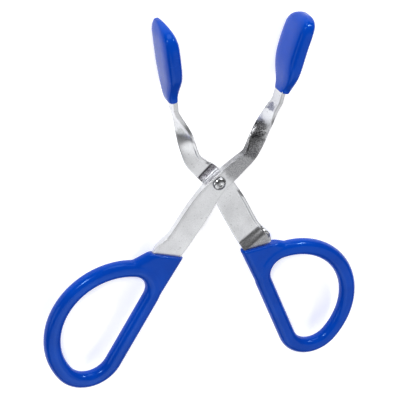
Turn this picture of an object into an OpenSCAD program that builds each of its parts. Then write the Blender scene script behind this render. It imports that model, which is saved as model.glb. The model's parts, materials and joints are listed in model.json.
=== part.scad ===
// Beaker tongs: two plated steel blades that cross at a rivet, with a finger
// ring on one end, a jaw on the other, and a dipped vinyl coat on each end.
// Every length is in millimetres. +Y points towards the jaws, +X to the right
// and +Z up from the bench that the tongs lie on.

/* [Steel blades] */
// Thickness of the steel sheet
sheet_t = 2.5; // [2:0.1:3]
// Width of the steel strip in the jaws
arm_w = 9.5; // [8.5:0.5:11]
// Width of the blade where it passes the rivet
waist_w = 12.5; // [11.5:0.5:13.5]
// Width of the shank between the rivet and the coat
shank_w = 16; // [14:0.5:17]
// Height of the stiffening lip along one edge of each blade
lip_h = 1.5; // [1:0.1:2]
// Thickness of that lip
lip_t = 1.6; // [1:0.1:2]
// Gap between the two blades where they cross
blade_gap = 0.1; // [0.05:0.05:0.3]

/* [Rivet] */
// Diameter of the rivet's shank
rivet_d = 5; // [4:0.5:6]
// Radial running clearance of the rear blade on the rivet
rivet_clearance = 0.05; // [0.02:0.01:0.08]
// Diameter of the domed head
head_d = 8; // [7:0.5:9]
// Height of the domed head
head_h = 2.2; // [1.5:0.1:2.5]
// Diameter of the peened tail
tail_d = 7; // [6.5:0.5:8]
// Height of the peened tail
tail_h = 1.2; // [0.8:0.1:1.4]

/* [Finger rings] */
// Width of the coated ring, across its section
ring_w = 10; // [9:0.5:11]
// Thickness of the coated ring, through the tongs
ring_t = 8; // [7:0.5:9]
// Distance from the rivet to the far end of each ring
handle_reach = 125; // [119:1:150]
// Thickness of the vinyl over the edges of the steel
coat_t = 2; // [1.5:0.1:2.5]

/* [Jaws] */
// Distance from the rivet to the tip of each coated jaw
jaw_reach = 99; // [95:1:119]
// Distance between the two jaws' middles
jaw_spread = 73; // [69:1:79]
// Outward lean of each jaw
jaw_lean = 11; // [9:1:13]
// Length of the coated jaw
pad_len = 46; // [40:1:50]
// Width of the coated jaw, which is also how high it stands off the bench
pad_w = 23; // [19:0.5:25]
// Thickness of the coated jaw
pad_t = 9.5; // [9:0.5:11]

/* [Hidden] */

STEEL = "silver";
VINYL = "royalblue";

// The tongs lie on the jaws' lower edges, with the blades' middle plane at mid_z.
// The origin is the middle of the footprint, so the rivet stands at pivot_y.
mid_z = pad_w / 2;
pivot_y = (handle_reach - jaw_reach) / 2;

// The rear blade drops behind the front one by one sheet and the gap.
drop = sheet_t + blade_gap;
joggle_jaw = [10.5, 14];     // where that step lies, from the rivet towards the jaw
joggle_handle = [43, 50];    // and from the rivet towards the ring

// Where the vinyl of a handle ends, and how far that line leans off square
front_dip = [28, -42.7, 15];
rear_dip = [28.5, -45, 9];

// The hole of a finger ring is a bow, a circle cut by a straight chord, with two
// rounded corners: the neck corner by the shank and the end corner far from it.
bow_r = 35;
neck_r = 9.2;
end_r = 12.3;
chord_in = 2.7;              // from the chord to the bow's centre
chord_lean = 26.5;           // lean of the chord from the tongs' middle line
chord_out = [cos(chord_lean), sin(chord_lean)];
chord_down = [sin(chord_lean), -cos(chord_lean)];
// From the bow's centre to a corner's centre: down the chord by sign, and off it
function corner(r, sign) = (r - chord_in) * chord_out
    + sign * sqrt((bow_r - r) * (bow_r - r) - (r - chord_in) * (r - chord_in)) * chord_down;
bow_at = [54, -handle_reach + ring_w + end_r - corner(end_r, 1).y];
neck_at = bow_at + corner(neck_r, -1);
end_at = bow_at + corner(end_r, 1);

// Middle line of the front blade from its ring to its jaw tip: [x, y, width].
jaw_mid = [jaw_spread / 2, jaw_reach - pad_len / 2];
jaw_dir = [sin(jaw_lean), cos(jaw_lean)];
tip_cover = 6;               // vinyl beyond the end of the steel
collar_t = 1;                // vinyl round the strip where it enters the coat
lead_in = 2;                 // straight strip before the vinyl starts
run_in = 4;                  // and the straight stretch before that
strip_end = jaw_mid + (pad_len / 2 - tip_cover) * jaw_dir;
strip_start = jaw_mid - (pad_len / 2 + lead_in) * jaw_dir;
LINE = [
    [-31, -46, shank_w - 1],
    [-28, -41.5, shank_w + 2],
    [-25, -38, shank_w + 1],
    [-20.5, -32, shank_w],
    [-11.3, -16.6, shank_w],
    [-5, -6, shank_w - 2],
    [0, 0, waist_w],
    [5.9, 5.3, waist_w - 0.5],
    [11.9, 10.8, arm_w + 1.3],
    [17.4, 16.2, arm_w],
    [20.9, 24.7, arm_w],
    [23.9, 32.6, arm_w],
    [27.5, 41, arm_w],
    concat(strip_start - run_in * jaw_dir, [arm_w]),
    [strip_start.x, strip_start.y, arm_w],
    [jaw_mid.x, jaw_mid.y, arm_w],
    [strip_end.x, strip_end.y, arm_w - 4]];
RIVET_STOP = 6;              // the station of LINE that lies on the rivet
SMOOTH = 5;                  // steps between two stations
twist_from = 22;             // the quarter twist of the jaw strip, along the blade
twist_to = 58;
lip_trace = 0.1;             // height that the lip fades to

// ---- Points along a line ----

function ramp(v, from, to) = let (k = max(0, min(1, (v - from) / (to - from)))) k * k * (3 - 2 * k);

function catmull(a, b, c, d, k) =
    0.5 * (2 * b + (c - a) * k + (2 * a - 5 * b + 4 * c - d) * k * k
           + (3 * b - a - 3 * c + d) * k * k * k);

function smooth_line(stops, steps) = let (last = len(stops) - 1) [
    for (i = [0 : last - 1], k = [0 : steps - 1])
        catmull(stops[max(i - 1, 0)], stops[i], stops[i + 1], stops[min(i + 2, last)], k / steps),
    stops[last]];

function gap(line, i) = norm([line[i].x - line[i - 1].x, line[i].y - line[i - 1].y]);

function distances(line, i = 0, sum = 0) = i >= len(line) ? []
    : let (s = i == 0 ? 0 : sum + gap(line, i)) concat([s], distances(line, i + 1, s));

function heading(line, i) = let (
    a = line[max(i - 1, 0)],
    b = line[min(i + 1, len(line) - 1)],
    step = [b.x - a.x, b.y - a.y, 0]) step / norm(step);

// ---- Skin over a row of sections, each a closed list of points ----

module skin(sections) {
    n = len(sections);
    m = len(sections[0]);
    points = [for (s = sections) each s];
    sides = [for (i = [0 : n - 2], j = [0 : m - 1]) let (
        a = i * m + j,
        b = i * m + (j + 1) % m) each [[a, b, b + m], [a, b + m, a + m]]];
    caps = [[for (j = [m - 1 : -1 : 0]) j], [for (j = [0 : m - 1]) (n - 1) * m + j]];
    polyhedron(points, concat(sides, caps));
}

// A closed loop of sections, such as a ring
module skin_loop(sections) {
    n = len(sections);
    m = len(sections[0]);
    points = [for (s = sections) each s];
    sides = [for (i = [0 : n - 1], j = [0 : m - 1]) let (
        a = i * m + j,
        b = i * m + (j + 1) % m,
        c = ((i + 1) % n) * m + (j + 1) % m,
        d = ((i + 1) % n) * m + j) each [[a, c, b], [a, d, c]]];
    polyhedron(points, sides);
}

// ---- Outline of a finger ring, set out from its hole by grow ----

function direction(from, to) = atan2(to.y - from.y, to.x - from.x);

// Entries of one arc: [centre x, centre y, radius, angle]
function arc(centre, r, from, to, steps) = let (turn = (to - from + 720) % 360)
    [for (k = [0 : steps]) [centre.x, centre.y, r, from + turn * k / steps]];

RING = let (
    low = direction(bow_at, end_at),
    high = direction(bow_at, neck_at),
    flat = chord_lean + 180) concat(
        arc(end_at, end_r, flat, low, 12),
        arc(bow_at, bow_r, low + 6, high - 6, 20),
        arc(neck_at, neck_r, high, flat, 12));

function outline(grow) = [
    for (w = RING) [w[0], w[1]] + (w[2] + grow) * [cos(w[3]), sin(w[3])]];

// ---- Steel ----

BLADE = smooth_line(LINE, SMOOTH);
BLADE_S = let (s = distances(BLADE), at_rivet = s[RIVET_STOP * SMOOTH]) [for (v = s) v - at_rivet];

function level(s) = s > 0
    ? -drop * (1 - ramp(s, joggle_jaw[0], joggle_jaw[1]))
    : -drop * (1 - ramp(-s, joggle_handle[0], joggle_handle[1]));

// The lip dies away into the jaw's twist and into the ring, and on the rear
// blade also where the front blade crosses it.
function lip(s, side) = let (
    between = min(1 - ramp(s, 24, 36), 1 - ramp(-s, 48, 53)),
    crossed = side > 0 ? 1 : max(ramp(s, 14, 18), ramp(-s, 12, 18)))
    lip_trace + (lip_h - lip_trace) * min(between, crossed);

// One section of a blade. side is 1 for the front blade, which runs from the
// left ring to the right jaw, and -1 for the rear blade, its mirror image.
function blade_section(i, side) = let (
    s = BLADE_S[i],
    h = heading(BLADE, i),
    ahead = [side * h.x, h.y, 0],
    right = [ahead.y, -ahead.x, 0],
    turn = 90 * ramp(s, twist_from, twist_to),
    across = right * cos(turn) + [0, 0, sin(turn)],
    up = -right * sin(turn) + [0, 0, cos(turn)],
    middle = [side * BLADE[i].x, BLADE[i].y, side > 0 ? 0 : level(s)],
    w = BLADE[i].z / 2,
    t = sheet_t / 2,
    top = t + lip(s, side),
    outline = [[-w, -t], [w, -t], [w, t], [-w + lip_t, t], [-w + lip_t, top], [-w, top]],
    closed = side > 0 ? outline : [for (k = [5 : -1 : 0]) outline[k]])
    [for (q = closed) middle + side * q.x * across + q.y * up];

// Flat ring, and the web that joins it to the shank, coined a little thicker
// than the sheet inside the vinyl
module ring_plate(side) {
    web = [
        [21.5, -46.3], neck_at - (neck_r + ring_w - coat_t) * chord_out, neck_at,
        neck_at + [0, neck_r + ring_w - coat_t], [39.5, -40.8], [35.5, -41.3]];
    linear_extrude(sheet_t + 0.6, center = true)
        difference() {
            union() {
                polygon([for (p = outline(ring_w - coat_t)) [-side * p.x, p.y]]);
                polygon([for (p = web) [-side * p.x, p.y]]);
            }
            polygon([for (p = outline(coat_t)) [-side * p.x, p.y]]);
        }
}

module blade_steel(side) {
    skin([for (i = [0 : len(BLADE) - 1]) blade_section(i, side)]);
    ring_plate(side);
}

module blade(side, bore_r) {
    difference() {
        blade_steel(side);
        translate([0, 0, -20])
            cylinder(h = 40, r = bore_r, $fn = 48);
    }
}

module placed() {
    translate([0, pivot_y, mid_z])
        children();
}

// The front blade carries the ring on the left and the jaw on the right.
module front_blade() {
    color(STEEL)
        placed()
            blade(1, rivet_d / 2);
}

// The rear blade passes behind the front one and steps forward on both sides.
module rear_blade() {
    color(STEEL)
        placed()
            blade(-1, rivet_d / 2 + rivet_clearance);
}

// Domed head in front, shank through both blades, peened tail behind
module pivot_rivet() {
    face = sheet_t / 2;
    back = -drop - sheet_t / 2;
    dome_r = (head_d * head_d / 4 + head_h * head_h) / (2 * head_h);
    color(STEEL)
        placed()
            rotate_extrude($fn = 64)
                polygon([
                    [0, back - 0.1 - tail_h], [tail_d / 2 - 0.6, back - 0.1 - tail_h],
                    [tail_d / 2, back - 0.1 - tail_h / 2], [tail_d / 2, back - 0.1],
                    [rivet_d / 2, back - 0.1], [rivet_d / 2, face],
                    for (k = [0 : 10]) let (
                        reach = asin(head_d / 2 / dome_r) * (1 - k / 10))
                        [dome_r * sin(reach), face + head_h - dome_r * (1 - cos(reach))]]);
}

// ---- Vinyl coats ----

// Rounded section round the ring at one outline point
function ring_section(w, side) = let (
    r = ring_t / 2,
    middle = w[2] + ring_w / 2,
    out = [-side * cos(w[3]), sin(w[3]), 0])
    [for (k = [0 : 11]) let (
        a = side * (30 * k + 15),
        u = sign(cos(a)) * (ring_w / 2 - r) + r * cos(a))
        [-side * w[0], w[1], r * sin(a)] + (middle + u) * out];

// Coat of one handle, cut off along the line that it was dipped to
module handle_coat(side) {
    r = ring_t / 2 - 0.4;
    edge = neck_r + ring_w - ring_t / 2;
    corners = [
        [22.4, -46.5], [19.2, -40], [37, -36], [38.6, -43.2],
        neck_at + [0, edge], neck_at - edge * chord_out];
    dip = side > 0 ? front_dip : rear_dip;
    difference() {
        union() {
            skin_loop([for (w = RING) ring_section(w, side)]);
            difference() {
                hull()
                    for (c = corners)
                        translate([-side * c.x, c.y, 0])
                            sphere(r, $fn = 20);
                linear_extrude(3 * ring_t, center = true)
                    polygon([for (p = outline(ring_w / 2)) [-side * p.x, p.y]]);
            }
        }
        translate([-side * dip.x, dip.y, 0])
            rotate([0, 0, -side * dip.z])
                translate([-20, 0, -10])
                    cube([40, 14, 20]);
        blade_steel(side);
    }
}

// Half width and half thickness of a jaw's coat along its length: a collar where
// the arm enters, the full pad, and a thin round tip
PAD = let (w = pad_w / 2, t = pad_t / 2, far = pad_len / 2) [
    [-far, arm_w / 2 + collar_t, sheet_t / 2 + collar_t],
    [-far + 1.5, arm_w / 2 + 1.6 * collar_t, sheet_t / 2 + 1.8 * collar_t],
    [-far + 6, 0.68 * w, 0.8 * t],
    [-far + 10, 0.87 * w, 0.94 * t],
    [-far + 14, w, t],
    [far - 13, w, t],
    [far - 9, 0.91 * w, 0.95 * t],
    [far - 5.5, 0.73 * w, 0.82 * t],
    [far - 2.5, 0.53 * w, 0.61 * t],
    [far - 0.8, 0.36 * w, 0.4 * t],
    [far, 0.18 * w, 0.19 * t]];

// Square section with round corners, flat where the pad rests on the bench
function pad_section(row) = let (
    bulge = function (v) sign(v) * pow(abs(v), 0.7),
    brim = bulge(cos(11.25)))
    [for (k = [0 : 15]) let (a = 22.5 * k + 11.25)
        [row.z * bulge(cos(a)) / brim, row.x, row.y * bulge(sin(a)) / brim]];

module jaw_coat(side) {
    difference() {
        translate([side * jaw_mid.x, jaw_mid.y, 0])
            rotate([0, 0, -side * jaw_lean])
                skin([for (row = PAD) pad_section(row)]);
        translate([side * jaw_mid.x, jaw_mid.y, 0])
            rotate([0, 0, -side * jaw_lean])
                translate([-sheet_t / 2 - lip_trace, -pad_len / 2 - lead_in, -arm_w / 2])
                    cube([sheet_t + lip_trace, pad_len + lead_in - tip_cover, arm_w]);
    }
}

module front_handle_coat() {
    color(VINYL)
        placed()
            handle_coat(1);
}

module rear_handle_coat() {
    color(VINYL)
        placed()
            handle_coat(-1);
}

module front_jaw_coat() {
    color(VINYL)
        placed()
            jaw_coat(1);
}

module rear_jaw_coat() {
    color(VINYL)
        placed()
            jaw_coat(-1);
}

front_blade();
rear_blade();
pivot_rivet();
front_handle_coat();
rear_handle_coat();
front_jaw_coat();
rear_jaw_coat();
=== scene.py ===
"""Builds the looks of a pair of beaker tongs round their packed frame: plated steel
blades, a set rivet, dipped vinyl coats on the rings and jaws, and a small studio."""
import json
import math

import bmesh
import bpy
from bpy.props import FloatProperty, FloatVectorProperty, IntProperty, PointerProperty
from bpy.types import Operator, Panel, PropertyGroup
from mathutils import Euler, Matrix, Vector


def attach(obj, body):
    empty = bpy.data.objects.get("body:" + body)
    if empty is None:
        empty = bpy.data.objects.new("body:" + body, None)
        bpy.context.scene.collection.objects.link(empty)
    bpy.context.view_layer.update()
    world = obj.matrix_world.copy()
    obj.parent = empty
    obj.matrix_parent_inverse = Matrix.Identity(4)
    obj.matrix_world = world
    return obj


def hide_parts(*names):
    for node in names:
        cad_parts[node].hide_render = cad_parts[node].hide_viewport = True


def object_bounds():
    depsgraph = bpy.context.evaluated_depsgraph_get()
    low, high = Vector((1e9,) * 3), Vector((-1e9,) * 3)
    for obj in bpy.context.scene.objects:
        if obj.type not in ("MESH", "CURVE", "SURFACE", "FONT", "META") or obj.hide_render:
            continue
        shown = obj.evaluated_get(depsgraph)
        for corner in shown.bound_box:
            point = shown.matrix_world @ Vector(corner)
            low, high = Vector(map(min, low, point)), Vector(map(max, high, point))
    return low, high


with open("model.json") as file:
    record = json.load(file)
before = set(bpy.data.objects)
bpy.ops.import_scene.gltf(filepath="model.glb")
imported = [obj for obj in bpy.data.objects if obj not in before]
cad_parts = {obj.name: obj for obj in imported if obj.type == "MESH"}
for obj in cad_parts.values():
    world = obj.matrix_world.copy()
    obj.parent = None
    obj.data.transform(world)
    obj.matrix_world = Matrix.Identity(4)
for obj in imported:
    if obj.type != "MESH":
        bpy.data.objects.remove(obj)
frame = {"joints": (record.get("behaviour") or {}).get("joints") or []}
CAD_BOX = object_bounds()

bl_info = {
    "name": "Beaker Tongs",
    "version": (1, 0, 0),
    "blender": (4, 5, 0),
    "location": "View3D > Sidebar > Tongs",
    "description": "Builds riveted laboratory tongs with vinyl coated rings and jaws",
    "category": "Add Mesh",
}

MM = 0.001
PIVOT = Vector(frame["joints"][0]["pos_m"])
FRONT, REAR = 1, -1                  # the two halves; the rear one mirrors the front one
SAME_POINT = 0.01 * MM               # points of a line nearer than this are one point
HULL_POINT = 0.02 * MM               # and points that a hull is drawn round
BODY = {FRONT: "front_half", REAR: "rear_half"}
WORD = {FRONT: "front", REAR: "rear"}


# ---- Settings ----

class SteelSettings(PropertyGroup):
    """Sizes and finish of the two plated blades"""
    sheet: FloatProperty(name="Sheet", description="Thickness of the sheet steel",
                         default=2.5 * MM, unit="LENGTH")
    arm: FloatProperty(name="Arm width", description="Width of the strip beyond the rivet",
                       default=9.5 * MM, unit="LENGTH")
    waist: FloatProperty(name="Waist width", description="Width of a blade at the rivet",
                         default=12.5 * MM, unit="LENGTH")
    shank: FloatProperty(name="Shank width", description="Width between the rivet and the coat",
                         default=16 * MM, unit="LENGTH")
    lip: FloatProperty(name="Lip height", description="Height of the stiffening lip",
                       default=1.5 * MM, unit="LENGTH")
    lip_wall: FloatProperty(name="Lip wall", description="Thickness of the stiffening lip",
                            default=1.6 * MM, unit="LENGTH")
    edge: FloatProperty(name="Edge radius", description="Rounding of the sheared edges",
                        default=0.45 * MM, unit="LENGTH")
    gap: FloatProperty(name="Blade gap", description="Gap between the blades at the rivet",
                       default=0.1 * MM, unit="LENGTH")
    colour: FloatVectorProperty(name="Plating", description="Colour of the bright plating",
                                default=(0.74, 0.75, 0.77), subtype="COLOR")
    roughness: FloatProperty(name="Roughness", description="Roughness of the plating",
                             default=0.24, subtype="FACTOR")


class RivetSettings(PropertyGroup):
    """Sizes and finish of the rivet"""
    shank: FloatProperty(name="Shank", description="Diameter of the rivet's shank",
                         default=5 * MM, unit="LENGTH")
    head: FloatProperty(name="Head", description="Diameter of the domed head",
                        default=8 * MM, unit="LENGTH")
    head_rise: FloatProperty(name="Head rise", description="Height of the domed head",
                             default=2.2 * MM, unit="LENGTH")
    tail: FloatProperty(name="Tail", description="Diameter of the peened tail",
                        default=7 * MM, unit="LENGTH")
    tail_rise: FloatProperty(name="Tail rise", description="Height of the peened tail",
                             default=1.2 * MM, unit="LENGTH")
    colour: FloatVectorProperty(name="Steel", description="Colour of the rivet's steel",
                                default=(0.6, 0.61, 0.63), subtype="COLOR")


class VinylSettings(PropertyGroup):
    """Sizes and finish of the dipped coats"""
    ring: FloatProperty(name="Ring width", description="Width of a coated ring's section",
                        default=10 * MM, unit="LENGTH")
    thick: FloatProperty(name="Ring thickness", description="Thickness of a coated ring",
                         default=8 * MM, unit="LENGTH")
    web: FloatProperty(name="Web thickness", description="Thickness of the coat by the shank",
                       default=7.2 * MM, unit="LENGTH")
    grain: FloatProperty(name="Mesh grain", description="Voxel size that merges a handle's coat",
                         default=0.55 * MM, unit="LENGTH")
    colour: FloatVectorProperty(name="Vinyl", description="Colour of the vinyl",
                                default=(0.0004, 0.056, 0.46), subtype="COLOR")
    deep: FloatVectorProperty(name="Deep vinyl", description="Colour where the coat is thicker",
                              default=(0.0003, 0.042, 0.37), subtype="COLOR")
    roughness: FloatProperty(name="Roughness", description="Roughness of the vinyl",
                             default=0.13, subtype="FACTOR")


class StudioSettings(PropertyGroup):
    """Camera, floor and lamps"""
    camera_at: FloatVectorProperty(name="Camera", description="Camera's place from the rivet",
                                   default=(-0.3246, 0.3737, 0.6789), subtype="XYZ")
    camera_turn: FloatVectorProperty(name="Camera turn", description="Camera's turn, in degrees",
                                     default=(-29.227, -22.284, 5.198))
    lens: FloatProperty(name="Lens", description="Focal length in millimetres", default=134.5)
    floor: FloatVectorProperty(name="Floor", description="Colour of the floor",
                               default=(0.93, 0.93, 0.94), subtype="COLOR")
    glow: FloatProperty(name="Floor glow", description="Light given off by the floor panel",
                        default=0.5)
    power: FloatProperty(name="Lamp power", description="Scale of all the lamps", default=1.0)
    seed: IntProperty(name="Seed", description="Seed of the surface patterns", default=3)


# ---- Shader building ----

class Wire:
    """A socket that can be used in a Python expression"""

    def __init__(self, shop, socket):
        self.shop, self.socket = shop, socket

    def _math(self, operation, *values):
        return self.shop.node("ShaderNodeMath", {"operation": operation},
                              {i: v for i, v in enumerate(values)})

    def __add__(self, other):
        return self._math("ADD", self, other)

    def __sub__(self, other):
        return self._math("SUBTRACT", self, other)

    def __mul__(self, other):
        return self._math("MULTIPLY", self, other)

    def __rsub__(self, other):
        return self._math("SUBTRACT", other, self)

    def __abs__(self):
        return self._math("ABSOLUTE", self)

    __radd__ = __add__
    __rmul__ = __mul__

    def spread(self, operation, other=(0, 0, 0), output=0):
        """The result of a vector operation with the other vector"""
        return self.shop.node("ShaderNodeVectorMath", {"operation": operation},
                              {0: self, 1: other}, output)

    def above(self, low, high):
        """0 below low, 1 above high, and smooth between"""
        return self.shop.node("ShaderNodeMapRange", {"interpolation_type": "SMOOTHSTEP"},
                              {"Value": self, "From Min": low, "From Max": high})


class Shop:
    """A new material, and the one method that adds a node to it"""

    def __init__(self, name):
        self.material = bpy.data.materials.new(name)
        self.material.use_nodes = True
        self.tree = self.material.node_tree
        self.shader = self.tree.nodes["Principled BSDF"]
        self.where = self.node("ShaderNodeTexCoord", {}, {}, "Object")

    def node(self, kind, settings, values, output=0):
        """Adds a node: its settings first, then its sockets' values or links"""
        made = self.tree.nodes.new(kind)
        for name, value in settings.items():
            setattr(made, name, value)
        self.fill(made, values)
        return Wire(self, made.outputs[output])

    def fill(self, made, values):
        for key, value in values.items():
            socket = made.inputs[key]
            if isinstance(value, Wire):
                self.tree.links.new(value.socket, socket)
            else:
                socket.default_value = value

    def noise(self, scale, detail=2.0, stretch=(1, 1, 1), shift=(0, 0, 0), rough=0.5):
        """A cloudy pattern of the given scale, on the object's own coordinates"""
        place = self.node("ShaderNodeMapping", {}, {"Vector": self.where, "Scale": stretch,
                                                    "Location": shift})
        return self.node("ShaderNodeTexNoise", {}, {"Vector": place, "Scale": scale,
                                                    "Detail": detail, "Roughness": rough})

    def blend(self, share, first, second):
        """The first colour where share is 0, and the second where it is 1"""
        return self.node("ShaderNodeMix", {"data_type": "RGBA"},
                         {"Factor": share, 6: first, 7: second}, 2)

    def reflection_band(self, centre, along, half, reach, ragged):
        """1 in a band across the given direction, near the centre, with a ragged edge; the mask
        of a painted reflection
        """
        away = self.where.spread("SUBTRACT", tuple(PIVOT + Vector(centre) * MM))
        length = away.spread("LENGTH", output=1) + ragged
        slip = abs(away.spread("DOT_PRODUCT", tuple(Vector(along).normalized()), 1))
        slip = slip + ragged * 0.6
        return ((1 - slip.above(0.8 * half * MM, half * MM))
                * (1 - length.above(0.6 * reach * MM, reach * MM)))

    def bump(self, height, strength, distance, under=None):
        values = {"Height": height, "Strength": strength, "Distance": distance}
        if under is not None:
            values["Normal"] = under
        return self.node("ShaderNodeBump", {}, values)

    def finish(self, **values):
        self.fill(self.shader, {name.replace("_", " "): v for name, v in values.items()})
        return self.material


def colour(value):
    """Three channels with a full fourth one, as a colour socket takes them"""
    return (*value, 1.0)


# Painted reflections on the plating: dark patches painted where it mirrors the dark room. In mm:
# centre from the rivet, direction across the band, half width, reach, ragged edge; then the
# share and the tint
PAINTED_REFLECTIONS = (
    ((12, 11.5, 1), (0.75, 0.66, 0), 12, 14, 6, 0.7, (0.12, 0.12, 0.13)),
    ((19, 21, 1), (0.4, 0.9, 0), 8, 10, 6, 0.9, (0.05, 0.05, 0.055)),
    ((20.5, 31.5, 0), (0.4, 0.9, 0), 6.5, 6.5, 6, 1.0, (0.012, 0.011, 0.014)),
    ((26, 45, 0), (0.3, 0.95, 0), 2.4, 5, 6, 0.9, (0.06, 0.07, 0.14)),
    ((-27, 33, 1), (-0.3, 0.95, 0), 4.5, 4.5, 5, 0.55, (0.2, 0.22, 0.2)),
    ((-7.6, 6.9, -1), (-0.74, 0.67, 0), 3.4, 8.5, 2, 0.95, (0.03, 0.02, 0.035)),
    ((27.4, -41.6, -1), (0.6, -0.8, 0), 6.4, 12, 0.4, 0.8, (0.13, 0.13, 0.135)),
)


def plated_steel(settings, seed):
    """Bright plating with clouding, fine grain, pits, scratches and dark painted reflections"""
    shop = Shop("plated_steel")
    cloud = shop.noise(70, 3, shift=(seed, 0, 0))
    grain = shop.noise(2600, 2, rough=0.7)
    pits = shop.noise(900, 1, shift=(0, seed, 0)).above(0.66, 0.74)
    scratch = (shop.noise(260, 1, (1, 14, 1)).above(0.64, 0.7)
               + shop.noise(240, 1, (12, 1, 1)).above(0.66, 0.72))
    dull = tuple(0.86 * c for c in settings.colour)
    worn = shop.blend(cloud.above(0.35, 0.7), colour(settings.colour), colour(dull))
    tone = shop.blend(pits * 0.35 + grain.above(0.42, 0.6) * 0.22, worn, (0.3, 0.3, 0.31, 1))
    reflection_mottle = shop.noise(1500, 2, rough=0.8)
    ragged = shop.noise(420, 3) - 0.5
    # Dark painted reflections of the room, set at fixed places with a mottled, ragged edge
    for centre, along, half, reach, wander, share, tint in PAINTED_REFLECTIONS:
        reflection_mask = shop.reflection_band(centre, along, half, reach, ragged * (wander * MM))
        tone = shop.blend(reflection_mask * share * (0.55 + reflection_mottle.above(0.38, 0.62) * 0.45), tone,
                          (*tint, 1))
    rough = settings.roughness + cloud * 0.08 + grain * 0.1 + scratch * 0.05 + pits * 0.15
    waves = shop.bump(shop.noise(45, 1), 0.5, 0.25 * MM)
    fine = shop.bump(grain + scratch * 0.5 - pits * 2, 0.22, 0.03 * MM, waves)
    return shop.finish(Base_Color=tone, Metallic=1.0, Roughness=rough, Normal=fine)


def rivet_steel(settings):
    """Darker steel with uneven dull patches"""
    shop = Shop("rivet_steel")
    cloud = shop.noise(420, 3)
    grain = shop.noise(3000, 2)
    dark = tuple(0.45 * c for c in settings.colour)
    tone = shop.blend(cloud.above(0.4, 0.66), colour(settings.colour), colour(dark))
    return shop.finish(Base_Color=tone, Metallic=1.0, Roughness=0.16 + cloud * 0.16,
                       Normal=shop.bump(cloud + grain * 0.3, 0.45, 0.12 * MM))


def dipped_vinyl(settings, seed):
    """Glossy vinyl with slow sags, a faint peel, dust and rubbed streaks"""
    shop = Shop("dipped_vinyl")
    cloud = shop.noise(38, 3, shift=(seed, seed, 0))
    peel = shop.noise(520, 2)
    dust = shop.noise(1900, 1, shift=(0, 0, seed)).above(0.7, 0.78)
    rubbed = shop.noise(330, 2, (1, 7, 1)).above(0.62, 0.72) * cloud.above(0.45, 0.6)
    skin = shop.blend(cloud.above(0.3, 0.7), colour(settings.colour), colour(settings.deep))
    pale = tuple(min(1.0, 1.25 * c + 0.012) for c in settings.colour)
    skin = shop.blend(rubbed * 0.3 + dust * 0.2, skin, colour(pale))
    rough = settings.roughness + cloud * 0.06 + rubbed * 0.08 + dust * 0.1
    sags = shop.bump(shop.noise(60, 2), 0.35, 0.3 * MM)
    return shop.finish(Base_Color=skin, Roughness=rough, Specular_IOR_Level=0.3,
                       Specular_Tint=(0.3, 0.6, 1, 1),
                       Normal=shop.bump(peel - dust, 0.12, 0.05 * MM, sags))


def coat_vinyl(context):
    """The one vinyl of all four coats, made when the first coat asks for it"""
    made = bpy.data.materials.get("dipped_vinyl")
    return made or dipped_vinyl(context.scene.tongs_vinyl, context.scene.tongs_studio.seed)


def plain(name, tint, roughness, glow):
    """An even, matt surface that also gives off some light"""
    shop = Shop(name)
    return shop.finish(Base_Color=colour(tint), Roughness=roughness, Specular_IOR_Level=0.0,
                       Emission_Color=colour(tint), Emission_Strength=glow)


# ---- Mesh helpers ----

def new_object(name, data, material=None):
    """A new object in the scene that shows the given mesh, lamp or camera"""
    made = bpy.data.objects.new(name, data)
    bpy.context.scene.collection.objects.link(made)
    if material is not None and not data.materials:
        data.materials.append(material)
    return made


def mesh_of(bm, name):
    """The mesh that was drawn in bm, which is used up"""
    mesh = bpy.data.meshes.new(name)
    bm.to_mesh(mesh)
    bm.free()
    return mesh


def loop_of(bm, points):
    """Adds a closed line's points, each of them once, and returns them in order"""
    verts = [bm.verts.new(p) for p in points]
    bmesh.ops.remove_doubles(bm, verts=verts, dist=SAME_POINT)
    return list(bm.verts)


def skin(sections):
    """A closed surface over a row of sections, each a ring of points"""
    bm = bmesh.new()
    rings = [[bm.verts.new(p) for p in section] for section in sections]
    for a, b in zip(rings, rings[1:]):
        for j in range(len(a)):
            k = (j + 1) % len(a)
            bm.faces.new((a[j], a[k], b[k], b[j]))
    bm.faces.new(rings[0])
    bm.faces.new(rings[-1])
    bmesh.ops.recalc_face_normals(bm, faces=bm.faces)
    return bm


def hull(points):
    """A new convex surface round the points"""
    bm = bmesh.new()
    for p in points:
        bm.verts.new(p)
    bmesh.ops.remove_doubles(bm, verts=bm.verts, dist=HULL_POINT)
    bmesh.ops.convex_hull(bm, input=bm.verts)
    bmesh.ops.delete(bm, geom=[p for p in bm.verts if not p.link_faces], context="VERTS")
    bmesh.ops.recalc_face_normals(bm, faces=bm.faces)
    return bm


def baked(thing):
    """Gives the object the plain mesh that its modifiers make, and drops them"""
    bpy.context.view_layer.update()
    graph = bpy.context.evaluated_depsgraph_get()
    mesh = bpy.data.meshes.new_from_object(thing.evaluated_get(graph))
    thing.modifiers.clear()
    thing.data = mesh
    return thing


def cut(thing, tool):
    """Takes the tool's volume away from the thing, and removes the tool"""
    knife = thing.modifiers.new("cut", "BOOLEAN")
    knife.operation, knife.solver, knife.object = "DIFFERENCE", "EXACT", tool
    baked(thing)
    bpy.data.objects.remove(tool)
    if not thing.data.polygons:
        raise RuntimeError(thing.name + " has no faces left after its cut")
    return thing


def shade(thing, angle):
    """Shades smoothly, but for edges that are sharper than the angle"""
    for face in thing.data.polygons:
        face.use_smooth = True
    thing.data.set_sharp_from_angle(angle=angle)


def settle(thing, side, node):
    """Puts a finished piece on its body, and hides the frame's piece that it stands for"""
    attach(thing, BODY[side])
    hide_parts(node)


def ramp(v, low, high):
    """0 below low, 1 above high, and an even S between"""
    k = max(0.0, min(1.0, (v - low) / (high - low)))
    return k * k * (3 - 2 * k)


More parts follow.
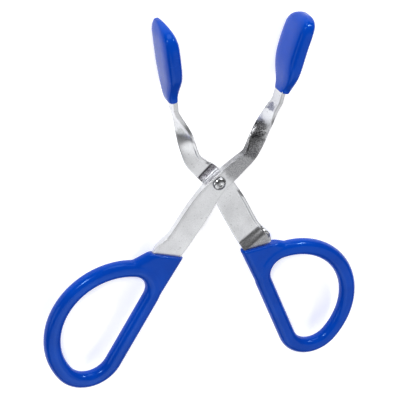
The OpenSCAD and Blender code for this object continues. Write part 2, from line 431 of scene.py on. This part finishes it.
def catmull(a, b, c, d, k):
    """The row at the share k of the way from b to c, on a curve through all four"""
    return tuple(0.5 * (2 * q + (r - p) * k + (2 * p - 5 * q + 4 * r - s) * k * k
                        + (3 * q - p - 3 * r + s) * k ** 3) for p, q, r, s in zip(a, b, c, d))


def smooth_rows(rows, steps):
    """Rows of numbers, eased through every given row"""
    last = len(rows) - 1
    eased = [catmull(rows[max(i - 1, 0)], rows[i], rows[i + 1], rows[min(i + 2, last)], k / steps)
             for i in range(last) for k in range(steps)]
    return eased + [rows[last]]


# ---- Blades: a strip of sheet that follows a line, steps, and turns on edge ----

JAW_MID = Vector((36.5, 76)) * MM    # middle of a jaw's pad, from the rivet
JAW_LEAN = math.radians(11)
JAW_DIR = Vector((math.sin(JAW_LEAN), math.cos(JAW_LEAN)))
JAW_HALF = 23 * MM                   # half the length of a pad
STRIP_EASE = 4 * MM                  # run in which the bends ease into the straight strip
STRIP_LEAD = 2 * MM                  # straight strip that shows before the coat
STRIP_SHORT = 6 * MM                 # coat that goes on beyond the strip's end
STRIP_TAPER = 4 * MM                 # width that the strip loses by its end
RIVET_STOP = 6                       # the stop of blade_stops that lies on the rivet
BLADE_STEPS = 14                     # sections from one stop to the next
BLADE_CREASE = math.radians(40)
REAR_PLAY = 0.05 * MM                # room round the rivet in the blade that turns on it

# Distances from the rivet, along a blade, between which it changes
TWIST = (22 * MM, 58 * MM)           # turns on edge
JOGGLE_JAW = (10.5 * MM, 14 * MM)    # the rear blade steps up, towards the jaw
JOGGLE_HANDLE = (43 * MM, 50 * MM)   # and towards the ring
LIP_JAW = (24 * MM, 36 * MM)         # the lip fades out, towards the jaw
LIP_HANDLE = (48 * MM, 53 * MM)      # and towards the ring
CROSS_JAW = (14 * MM, 18 * MM)       # the rear blade's lip begins, clear of the front blade
CROSS_HANDLE = (12 * MM, 18 * MM)    # and towards the ring
LIP_TRACE = 0.1 * MM                 # height that is left where there is no lip

# Rounding of the sheet's edges
CORNER_SHARE = 0.42                  # most of a side that one corner takes
GUARD = 0.25 * MM                    # distance of the points that keep a flat side flat
GUARD_SHARE = 0.1                    # most of a side that such a point stands off


def blade_stops(s):
    """Middle line and width of the front blade, from its ring to its jaw"""
    begin = JAW_MID - (JAW_HALF + STRIP_LEAD) * JAW_DIR
    end = JAW_MID + (JAW_HALF - STRIP_SHORT) * JAW_DIR
    run = begin - STRIP_EASE * JAW_DIR
    bends = [(-31, -46, s.shank - 1 * MM), (-28, -41.5, s.shank + 2 * MM),
             (-25, -38, s.shank + 1 * MM), (-20.5, -32, s.shank), (-11.3, -16.6, s.shank),
             (-5, -6, s.shank - 2 * MM), (0, 0, s.waist), (5.9, 5.3, s.waist - 0.5 * MM),
             (11.9, 10.8, s.arm + 1.3 * MM), (17.4, 16.2, s.arm), (20.9, 24.7, s.arm),
             (23.9, 32.6, s.arm), (27.5, 41, s.arm)]
    straight = [(*p, w) for p, w in ((run, s.arm), (begin, s.arm), (JAW_MID, s.arm),
                                     (end, s.arm - STRIP_TAPER))]
    return [(x * MM, y * MM, w) for x, y, w in bends] + straight


def rounded(corners, radius, steps=4):
    """A closed outline with each corner rounded and the flats kept flat up to it"""
    out = []
    for i, here in enumerate(corners):
        before, after = corners[i - 1] - here, corners[(i + 1) % len(corners)] - here
        r = min(radius, CORNER_SHARE * before.length, CORNER_SHARE * after.length)
        a, b = here + before.normalized() * r, here + after.normalized() * r
        out.append(a + before.normalized() * min(GUARD, GUARD_SHARE * before.length))
        for k in range(steps + 1):
            t = k / steps
            out.append(a * (1 - t) ** 2 + here * 2 * t * (1 - t) + b * t * t)
        out.append(b + after.normalized() * min(GUARD, GUARD_SHARE * after.length))
    return out


def lip_height(along, side, s):
    """Height of the lip at a distance along a blade; the rear one's stops at the crossing"""
    fade = min(1 - ramp(along, *LIP_JAW), 1 - ramp(-along, *LIP_HANDLE))
    crossed = 1
    if side == REAR:
        crossed = max(ramp(along, *CROSS_JAW), ramp(-along, *CROSS_HANDLE))
    return LIP_TRACE + (s.lip - LIP_TRACE) * min(fade, crossed)


def blade_level(along, s):
    """Height of the rear blade's middle, which steps down to pass the front one"""
    step = JOGGLE_JAW if along > 0 else JOGGLE_HANDLE
    return -(s.sheet + s.gap) * (1 - ramp(abs(along), *step))


def blade(side, s, material):
    """One blade: its lipped section carried along the eased line"""
    line = smooth_rows(blade_stops(s), BLADE_STEPS)
    along = [0.0]
    for a, b in zip(line, line[1:]):
        along.append(along[-1] + math.dist(a[:2], b[:2]))
    at_rivet = along[RIVET_STOP * BLADE_STEPS]
    sections = []
    for i, (x, y, width) in enumerate(line):
        t = along[i] - at_rivet
        a, b = line[max(i - 1, 0)], line[min(i + 1, len(line) - 1)]
        ahead = Vector((side * (b[0] - a[0]), b[1] - a[1], 0)).normalized()
        right = Vector((ahead.y, -ahead.x, 0))
        turn = math.radians(90) * ramp(t, *TWIST)
        across = right * math.cos(turn) + Vector((0, 0, math.sin(turn)))
        up = -right * math.sin(turn) + Vector((0, 0, math.cos(turn)))
        middle = PIVOT + Vector((side * x, y, 0 if side == FRONT else blade_level(t, s)))
        w, h = width / 2, s.sheet / 2
        top = h + lip_height(t, side, s)
        profile = [Vector(p) for p in ((-w, -h), (w, -h), (w, h), (-w + s.lip_wall, h),
                                       (-w + s.lip_wall, top), (-w, top))]
        sections.append([middle + side * q.x * across + q.y * up
                         for q in rounded(profile, s.edge)])
    return new_object(WORD[side] + "_blade_steel", mesh_of(skin(sections), "blade"), material)


def drill(radius, low, high):
    """An upright round tool on the rivet's axis"""
    bm = bmesh.new()
    bmesh.ops.create_cone(bm, cap_ends=True, segments=64, radius1=radius, radius2=radius,
                          depth=high - low)
    bm.transform(Matrix.Translation((PIVOT.x, PIVOT.y, (high + low) / 2)))
    return new_object("drill", mesh_of(bm, "drill"))


class TONGS_OT_blades(Operator):
    """Makes the front and the rear blade, with their lips, steps and quarter twists"""
    bl_idname = "tongs.blades"
    bl_label = "Steel Blades"

    def execute(self, context):
        s = context.scene.tongs_steel
        material = plated_steel(s, context.scene.tongs_studio.seed)
        low, high = CAD_BOX[0].z - 1 * MM, CAD_BOX[1].z + 1 * MM
        bore = context.scene.tongs_rivet.shank / 2
        for side, radius in ((FRONT, bore), (REAR, bore + REAR_PLAY)):
            made = cut(blade(side, s, material), drill(radius, low, high))
            shade(made, BLADE_CREASE)
            settle(made, side, WORD[side] + "_blade")
        return {"FINISHED"}


# ---- Rivet ----

RIVET_SIDES = 72
DOME_STEPS = 14
DOME_TOP = 0.3                       # share of the head's radius at which the set mark begins
SET_MARK = 0.2 * MM                  # depth of the mark that the setting tool left
TAIL_DISH = 0.12 * MM                # depth of the dish in the peened tail


def rivet_profile(r, s):
    """Radius and height from the tail's middle, round the outside, to the head's middle"""
    face, back = s.sheet / 2, -s.sheet * 1.5 - s.gap * 2
    head, rise, tail = r.head / 2, r.head_rise, r.tail / 2
    points = [(0.35 * tail, back - r.tail_rise + TAIL_DISH), (0.5 * tail, back - r.tail_rise),
              (0.8 * tail, back - r.tail_rise), (0.95 * tail, back - 0.75 * r.tail_rise),
              (tail, back - 0.4 * r.tail_rise), (tail, back),
              (r.shank / 2, back), (r.shank / 2, face), (0.97 * head, face),
              (head, face + 0.06 * rise), (head, face + 0.2 * rise)]
    for k in range(1, DOME_STEPS + 1):
        turn = math.radians(90) * k / DOME_STEPS
        out = head * math.cos(turn) ** 0.8
        if out > DOME_TOP * head:
            points.append((out, face + 0.2 * rise + 0.8 * rise * math.sin(turn) ** 1.1))
    crown = points[-1][1]
    points += [(0.26 * head, crown), (0.2 * head, crown - 0.6 * SET_MARK),
               (0.1 * head, crown - SET_MARK)]
    return points


class TONGS_OT_rivet(Operator):
    """Turns the rivet: a domed head with a set mark, a shank and a peened tail"""
    bl_idname = "tongs.rivet"
    bl_label = "Pivot Rivet"

    def execute(self, context):
        r, s = context.scene.tongs_rivet, context.scene.tongs_steel
        around = [math.tau * k / RIVET_SIDES for k in range(RIVET_SIDES)]
        sections = [[PIVOT + Vector((radius * math.cos(a), radius * math.sin(a), z))
                     for a in around] for radius, z in rivet_profile(r, s)]
        made = new_object("pivot_rivet_set", mesh_of(skin(sections), "rivet"), rivet_steel(r))
        shade(made, BLADE_CREASE)
        settle(made, FRONT, "pivot_rivet")
        return {"FINISHED"}


# ---- Handle coats ----

# A ring's hole is a bow cut by a straight chord, with a rounded corner at each end of it
CHORD_LEAN = math.radians(26.5)
CHORD_OUT = Vector((math.cos(CHORD_LEAN), math.sin(CHORD_LEAN)))
CHORD_DOWN = Vector((math.sin(CHORD_LEAN), -math.cos(CHORD_LEAN)))
BOW_R = 35 * MM
BOW_X = 54 * MM                      # the bow's centre stands this far from the middle
NECK_R = 9.2 * MM                    # corner towards the rivet
END_R = 12.3 * MM                    # corner at the handle's end
CHORD_IN = 2.7 * MM                  # from the bow's centre to the chord
HANDLE_REACH = 125 * MM              # from the rivet to the handle's end

# Where the vinyl of a handle ends, from the rivet, and how far that line leans
DIP = {FRONT: (28 * MM, -42.7 * MM, math.radians(15)),
       REAR: (28.5 * MM, -45 * MM, math.radians(9))}
WEB_INNER = (Vector((22.4, -46.5)) * MM, Vector((19.2, -40)) * MM)    # two of its corners
WEB_FAR = 38 * MM                    # the web's outer corner stands this far from the middle
WEB_PROUD = 0.4 * MM                 # how far that corner goes past the dip line
EDGE_FLAT = 0.2 * MM                 # left flat between a bar's two rounded edges, each way
RING_STATIONS = 260
EDGE_STEPS = 7
COAT_EASE = 9                        # passes that smooth a merged coat
COAT_CREASE = math.radians(80)


def placed(side, x, y):
    """A handle's point on a half; a handle lies across from its own jaw"""
    return PIVOT + Vector((-side * x, y, 0))


def corner(r, sign):
    """From the bow's centre to a corner's centre"""
    out = r - CHORD_IN
    return out * CHORD_OUT + sign * math.sqrt((BOW_R - r) ** 2 - out ** 2) * CHORD_DOWN


def ring_arcs(ring_w):
    """The three arcs of a ring's hole, as centre, radius, first and last angle"""
    bow = Vector((BOW_X, -HANDLE_REACH + ring_w + END_R - corner(END_R, 1).y))
    neck, end = bow + corner(NECK_R, -1), bow + corner(END_R, 1)
    flat = CHORD_LEAN + math.pi
    low = math.atan2(*reversed(end - bow))
    high = math.atan2(*reversed(neck - bow))
    return ((end, END_R, flat, low + math.tau), (bow, BOW_R, low, high),
            (neck, NECK_R, high, flat))


def outline(ring_w, grow, side, steps=24):
    """Points of a ring's hole, set outwards by grow"""
    points = []
    for centre, radius, first, last in ring_arcs(ring_w):
        for k in range(steps + 1):
            a = first + (last - first) * k / steps
            p = centre + (radius + grow) * Vector((math.cos(a), math.sin(a)))
            points.append(placed(side, p.x, p.y))
    return points


def sweep_tree(material):
    """Geometry nodes that sweep a rounded bar along a closed line"""
    tree = bpy.data.node_groups.new("ring_bar", "GeometryNodeTree")
    face = tree.interface
    face.new_socket("Line", in_out="INPUT", socket_type="NodeSocketGeometry")
    for name in ("Bar width", "Bar thickness", "Edge radius"):
        face.new_socket(name, in_out="INPUT", socket_type="NodeSocketFloat")
    for name in ("Stations", "Edge steps"):
        face.new_socket(name, in_out="INPUT", socket_type="NodeSocketInt")
    face.new_socket("Bar", in_out="OUTPUT", socket_type="NodeSocketGeometry")

    def node(kind, settings=None, links=None, values=None):
        made = tree.nodes.new(kind)
        for key, value in (settings or {}).items():
            setattr(made, key, value)
        for key, socket in (links or {}).items():
            tree.links.new(socket, made.inputs[key])
        for key, value in (values or {}).items():
            made.inputs[key].default_value = value
        return made

    given = node("NodeGroupInput").outputs
    line = node("GeometryNodeMeshToCurve", links={"Mesh": given["Line"]})
    even = node("GeometryNodeResampleCurve",
                links={"Curve": line.outputs[0], "Count": given["Stations"]})
    level = node("GeometryNodeSetCurveNormal", {"mode": "Z_UP"}, {"Curve": even.outputs[0]})
    bar = node("GeometryNodeCurvePrimitiveQuadrilateral",
               links={"Width": given["Bar width"], "Height": given["Bar thickness"]})
    soft = node("GeometryNodeFilletCurve", {"mode": "POLY"},
                {"Curve": bar.outputs[0], "Count": given["Edge steps"],
                 "Radius": given["Edge radius"]})
    body = node("GeometryNodeCurveToMesh",
                links={"Curve": level.outputs[0], "Profile Curve": soft.outputs[0]})
    real = node("GeometryNodeRealizeInstances", links={"Geometry": body.outputs[0]})
    coat = node("GeometryNodeSetMaterial", links={"Geometry": real.outputs[0]},
                values={"Material": material})
    node("NodeGroupOutput", links={"Bar": coat.outputs[0]})
    return tree


def ring_bar(side, v, tree):
    """A ring's coat, swept by the nodes along the middle of its section"""
    bm = bmesh.new()
    verts = loop_of(bm, outline(v.ring, v.ring / 2, side))
    for a, b in zip(verts, verts[1:] + verts[:1]):
        bm.edges.new((a, b))
    made = new_object(WORD[side] + "_handle_vinyl", mesh_of(bm, "ring_line"))
    sweep = made.modifiers.new("bar", "NODES")
    sweep.node_group = tree
    sizes = {"Bar width": v.ring, "Bar thickness": v.thick,
             "Edge radius": v.thick / 2 - EDGE_FLAT,
             "Stations": RING_STATIONS, "Edge steps": EDGE_STEPS}
    for item in tree.interface.items_tree:
        if item.name in sizes:
            sweep[item.identifier] = sizes[item.name]
    return baked(made)


def web(side, v):
    """The coat between a ring and its shank, up to the line it was dipped to"""
    neck = ring_arcs(v.ring)[2][0]
    edge = NECK_R + v.ring - v.thick / 2
    x, y, lean = DIP[side]
    far_y = y + math.tan(lean) * (WEB_FAR - x) - v.web / 2 + WEB_PROUD
    corners = [*WEB_INNER, Vector((WEB_FAR, far_y)),
               neck + Vector((0, edge)), neck - edge * CHORD_OUT]
    balls = bmesh.new()
    for c in corners:
        bmesh.ops.create_icosphere(balls, subdivisions=4, radius=v.web / 2,
                                   matrix=Matrix.Translation(placed(side, *c)))
    bm = hull([p.co.copy() for p in balls.verts])
    balls.free()
    bmesh.ops.bisect_plane(bm, geom=bm.verts[:] + bm.edges[:] + bm.faces[:],
                           plane_co=placed(side, x, y), clear_outer=True,
                           plane_no=Vector((math.sin(lean) * side, math.cos(lean), 0)))
    dipped = hull([p.co.copy() for p in bm.verts])
    bm.free()
    made = new_object("web", mesh_of(dipped, "web"))
    hole = bmesh.new()
    below = Vector((0, 0, -v.thick))
    face = hole.faces.new(loop_of(hole, [p + below for p in outline(v.ring, v.ring / 2, side)]))
    grown = bmesh.ops.extrude_face_region(hole, geom=[face])
    lifted = [e for e in grown["geom"] if isinstance(e, bmesh.types.BMVert)]
    bmesh.ops.translate(hole, verts=lifted, vec=Vector((0, 0, 2 * v.thick)))
    bmesh.ops.recalc_face_normals(hole, faces=hole.faces)
    return cut(made, new_object("hole", mesh_of(hole, "hole")))


class TONGS_OT_handle_coats(Operator):
    """Makes the two handles' coats, each a swept ring merged with its web"""
    bl_idname = "tongs.handle_coats"
    bl_label = "Handle Coats"

    def execute(self, context):
        v = context.scene.tongs_vinyl
        material = coat_vinyl(context)
        tree = sweep_tree(material)
        for side in (FRONT, REAR):
            ring, patch = ring_bar(side, v, tree), web(side, v)
            bm = bmesh.new()
            bm.from_mesh(ring.data)
            bm.from_mesh(patch.data)
            bpy.data.objects.remove(patch)
            ring.data = mesh_of(bm, "coat")
            merge = ring.modifiers.new("merge", "REMESH")
            merge.mode, merge.voxel_size = "VOXEL", v.grain
            ease = ring.modifiers.new("ease", "SMOOTH")
            ease.factor, ease.iterations = 0.5, COAT_EASE
            baked(ring)
            ring.data.materials.clear()
            ring.data.materials.append(material)
            shade(ring, COAT_CREASE)
            settle(ring, side, WORD[side] + "_handle_coat")
        return {"FINISHED"}


# ---- Jaw coats ----

# In mm: distance along a jaw, height of its coat above and below the middle, half thickness,
# and how far the coat's middle stands out from the strip's
JAW_ROWS = {
    FRONT: ((-22.9, 4.9, 5.2, 2.2, 0.9), (-22.5, 5.2, 5.7, 2.8, 1.0), (-20, 6.0, 6.6, 3.1, 1.2),
            (-16, 8.6, 7.9, 3.4, 0.7), (-12, 10.3, 9.5, 4.1, 0.3), (-8, 11.2, 10.5, 4.6, -0.1),
            (-3, 11.5, 11.2, 4.9, -0.4), (3, 11.5, 11.5, 4.95, -0.4), (8, 11.5, 11.5, 4.95, -0.3),
            (12, 11.5, 11.4, 4.95, -0.1), (16, 11.4, 10.8, 4.8, 0), (19, 10.6, 9.0, 4.5, 0.2),
            (21, 8.8, 6.8, 3.7, 0.6), (22.3, 6.4, 4.3, 2.6, 0.9), (23, 4.0, 2.4, 1.2, 1.1)),
    REAR: ((-22.9, 4.9, 4.9, 2.0, -0.7), (-22.5, 5.0, 5.2, 2.7, -0.7), (-20, 5.4, 6.0, 3.1, -0.9),
           (-16, 6.9, 7.8, 3.6, -0.6), (-12, 8.9, 9.9, 4.1, -0.1), (-8, 10.5, 11.0, 4.5, 0.2),
           (-3, 11.2, 11.5, 4.75, 0.2), (3, 11.5, 11.5, 4.8, 0.1), (8, 11.5, 11.5, 4.8, 0),
           (12, 11.3, 11.4, 4.7, -0.1), (16, 10.6, 11.4, 4.2, -0.5), (19, 8.0, 10.8, 3.3, -0.8),
           (21, 4.2, 9.8, 2.4, -1.0), (22.3, -0.6, 8.6, 1.6, -1.2), (23, -3.6, 7.4, 0.9, -1.3)),
}
JAW_STEPS = 5                        # sections from one row to the next
JAW_SIDES = 56
JAW_EASE = 2                         # passes that smooth a jaw's coat
JAW_CREASE = math.radians(60)
JAW_SQUARE = 0.55                    # 1 gives a round section, less a squarer one


def bulge(value):
    """Pushes a cosine or a sine outwards, so that a round section becomes squarer"""
    return math.copysign(abs(value) ** JAW_SQUARE, value)


def jaw(side, material):
    """One jaw's coat, from its collar to its tip"""
    sections = []
    turn = Matrix.Rotation(-side * JAW_LEAN, 3, "Z")
    centre = PIVOT + Vector((side * JAW_MID.x, JAW_MID.y, 0))
    for y, above, below, thick, shift in smooth_rows(JAW_ROWS[side], JAW_STEPS):
        middle, half = (above - below) / 2, (above + below) / 2
        section = []
        for k in range(JAW_SIDES):
            a = math.tau * k / JAW_SIDES
            local = Vector((shift + thick * bulge(math.cos(a)), y,
                            middle + half * bulge(math.sin(a))))
            section.append(centre + turn @ (local * MM))
        sections.append(section)
    made = new_object(WORD[side] + "_jaw_vinyl", mesh_of(skin(sections), "jaw"), material)
    ease = made.modifiers.new("ease", "SMOOTH")
    ease.factor, ease.iterations = 0.5, JAW_EASE
    finer = made.modifiers.new("finer", "SUBSURF")
    finer.levels = finer.render_levels = 1
    return baked(made)


class TONGS_OT_jaw_coats(Operator):
    """Makes the two jaws' coats, with their collars and slanted tips"""
    bl_idname = "tongs.jaw_coats"
    bl_label = "Jaw Coats"

    def execute(self, context):
        for side in (FRONT, REAR):
            made = jaw(side, coat_vinyl(context))
            shade(made, JAW_CREASE)
            settle(made, side, WORD[side] + "_jaw_coat")
        return {"FINISHED"}


# ---- Studio ----

FLOOR_HALF = 2.5
FLOOR_ROUGH = 0.9
AIR_LIGHT = 0.13
SENSOR = 36                          # width of the camera's sensor, in millimetres

# Name, direction from the tongs, distance, size and power of each lamp
LAMPS = (
    ("key_softbox", (0.50, -0.47, 0.74), 1.3, 0.95, 2.0),
    ("front_softbox", (-0.10, -0.70, 0.72), 1.3, 1.1, 4.4),
    ("side_softbox", (-0.86, -0.12, 0.46), 1.3, 0.6, 2.0),
    ("back_softbox", (0.1, 0.93, 0.35), 1.4, 0.7, 4.0),
    ("left_glint", (-0.46, 0.50, 0.73), 1.2, 0.22, 5.5),
    ("right_glint", (0.55, 0.67, 0.54), 1.2, 0.22, 5.5),
)


class TONGS_OT_studio(Operator):
    """Sets the pale floor, the soft lamps and the camera"""
    bl_idname = "tongs.studio"
    bl_label = "Studio"

    def execute(self, context):
        scene = context.scene
        s = scene.tongs_studio
        bm = bmesh.new()
        bmesh.ops.create_grid(bm, x_segments=1, y_segments=1, size=FLOOR_HALF)
        pale = plain("floor", s.floor, FLOOR_ROUGH, s.glow)
        new_object("studio_floor", mesh_of(bm, "floor"), pale)
        for name, direction, distance, size, power in LAMPS:
            lamp = bpy.data.lights.new(name, "AREA")
            lamp.shape, lamp.size, lamp.energy = "DISK", size, power * s.power
            holder = new_object(name, lamp)
            toward = Vector(direction).normalized()
            holder.location = PIVOT + toward * distance
            holder.rotation_euler = toward.to_track_quat("Z", "Y").to_euler()
        world = bpy.data.worlds.new("studio_air")
        world.use_nodes = True
        air = world.node_tree.nodes["Background"]
        air.inputs["Color"].default_value = (1, 1, 1, 1)
        air.inputs["Strength"].default_value = AIR_LIGHT
        scene.world = world
        lens = bpy.data.cameras.new("camera")
        lens.lens, lens.sensor_width = s.lens, SENSOR
        camera = new_object("camera", lens)
        camera.location = PIVOT + Vector(s.camera_at)
        camera.rotation_euler = Euler([math.radians(a) for a in s.camera_turn], "XYZ")
        scene.camera = camera
        scene.view_settings.view_transform = "Standard"
        return {"FINISHED"}


# ---- Panel and running ----

GROUPS = {"tongs_steel": SteelSettings, "tongs_rivet": RivetSettings,
          "tongs_vinyl": VinylSettings, "tongs_studio": StudioSettings}
STEPS = (TONGS_OT_studio, TONGS_OT_blades, TONGS_OT_rivet, TONGS_OT_handle_coats,
         TONGS_OT_jaw_coats)


class TONGS_PT_build(Panel):
    """Lists the settings and the steps that build the tongs"""
    bl_idname = "TONGS_PT_build"
    bl_label = "Beaker Tongs"
    bl_space_type = "VIEW_3D"
    bl_region_type = "UI"
    bl_category = "Tongs"

    def draw(self, context):
        for name, group in GROUPS.items():
            box = self.layout.box()
            box.label(text=group.__doc__)
            for key in group.__annotations__:
                box.prop(getattr(context.scene, name), key)
        for step in STEPS:
            self.layout.operator(step.bl_idname)


def register():
    for kind in (*GROUPS.values(), *STEPS, TONGS_PT_build):
        bpy.utils.register_class(kind)
    for name, group in GROUPS.items():
        setattr(bpy.types.Scene, name, PointerProperty(type=group))


def unregister():
    for name in GROUPS:
        delattr(bpy.types.Scene, name)
    for kind in reversed((*GROUPS.values(), *STEPS, TONGS_PT_build)):
        bpy.utils.unregister_class(kind)


def main():
    """Builds the whole object, step by step"""
    register()
    for step in STEPS:
        group, name = step.bl_idname.split(".")
        getattr(getattr(bpy.ops, group), name)()


if __name__ == "__main__":
    main()
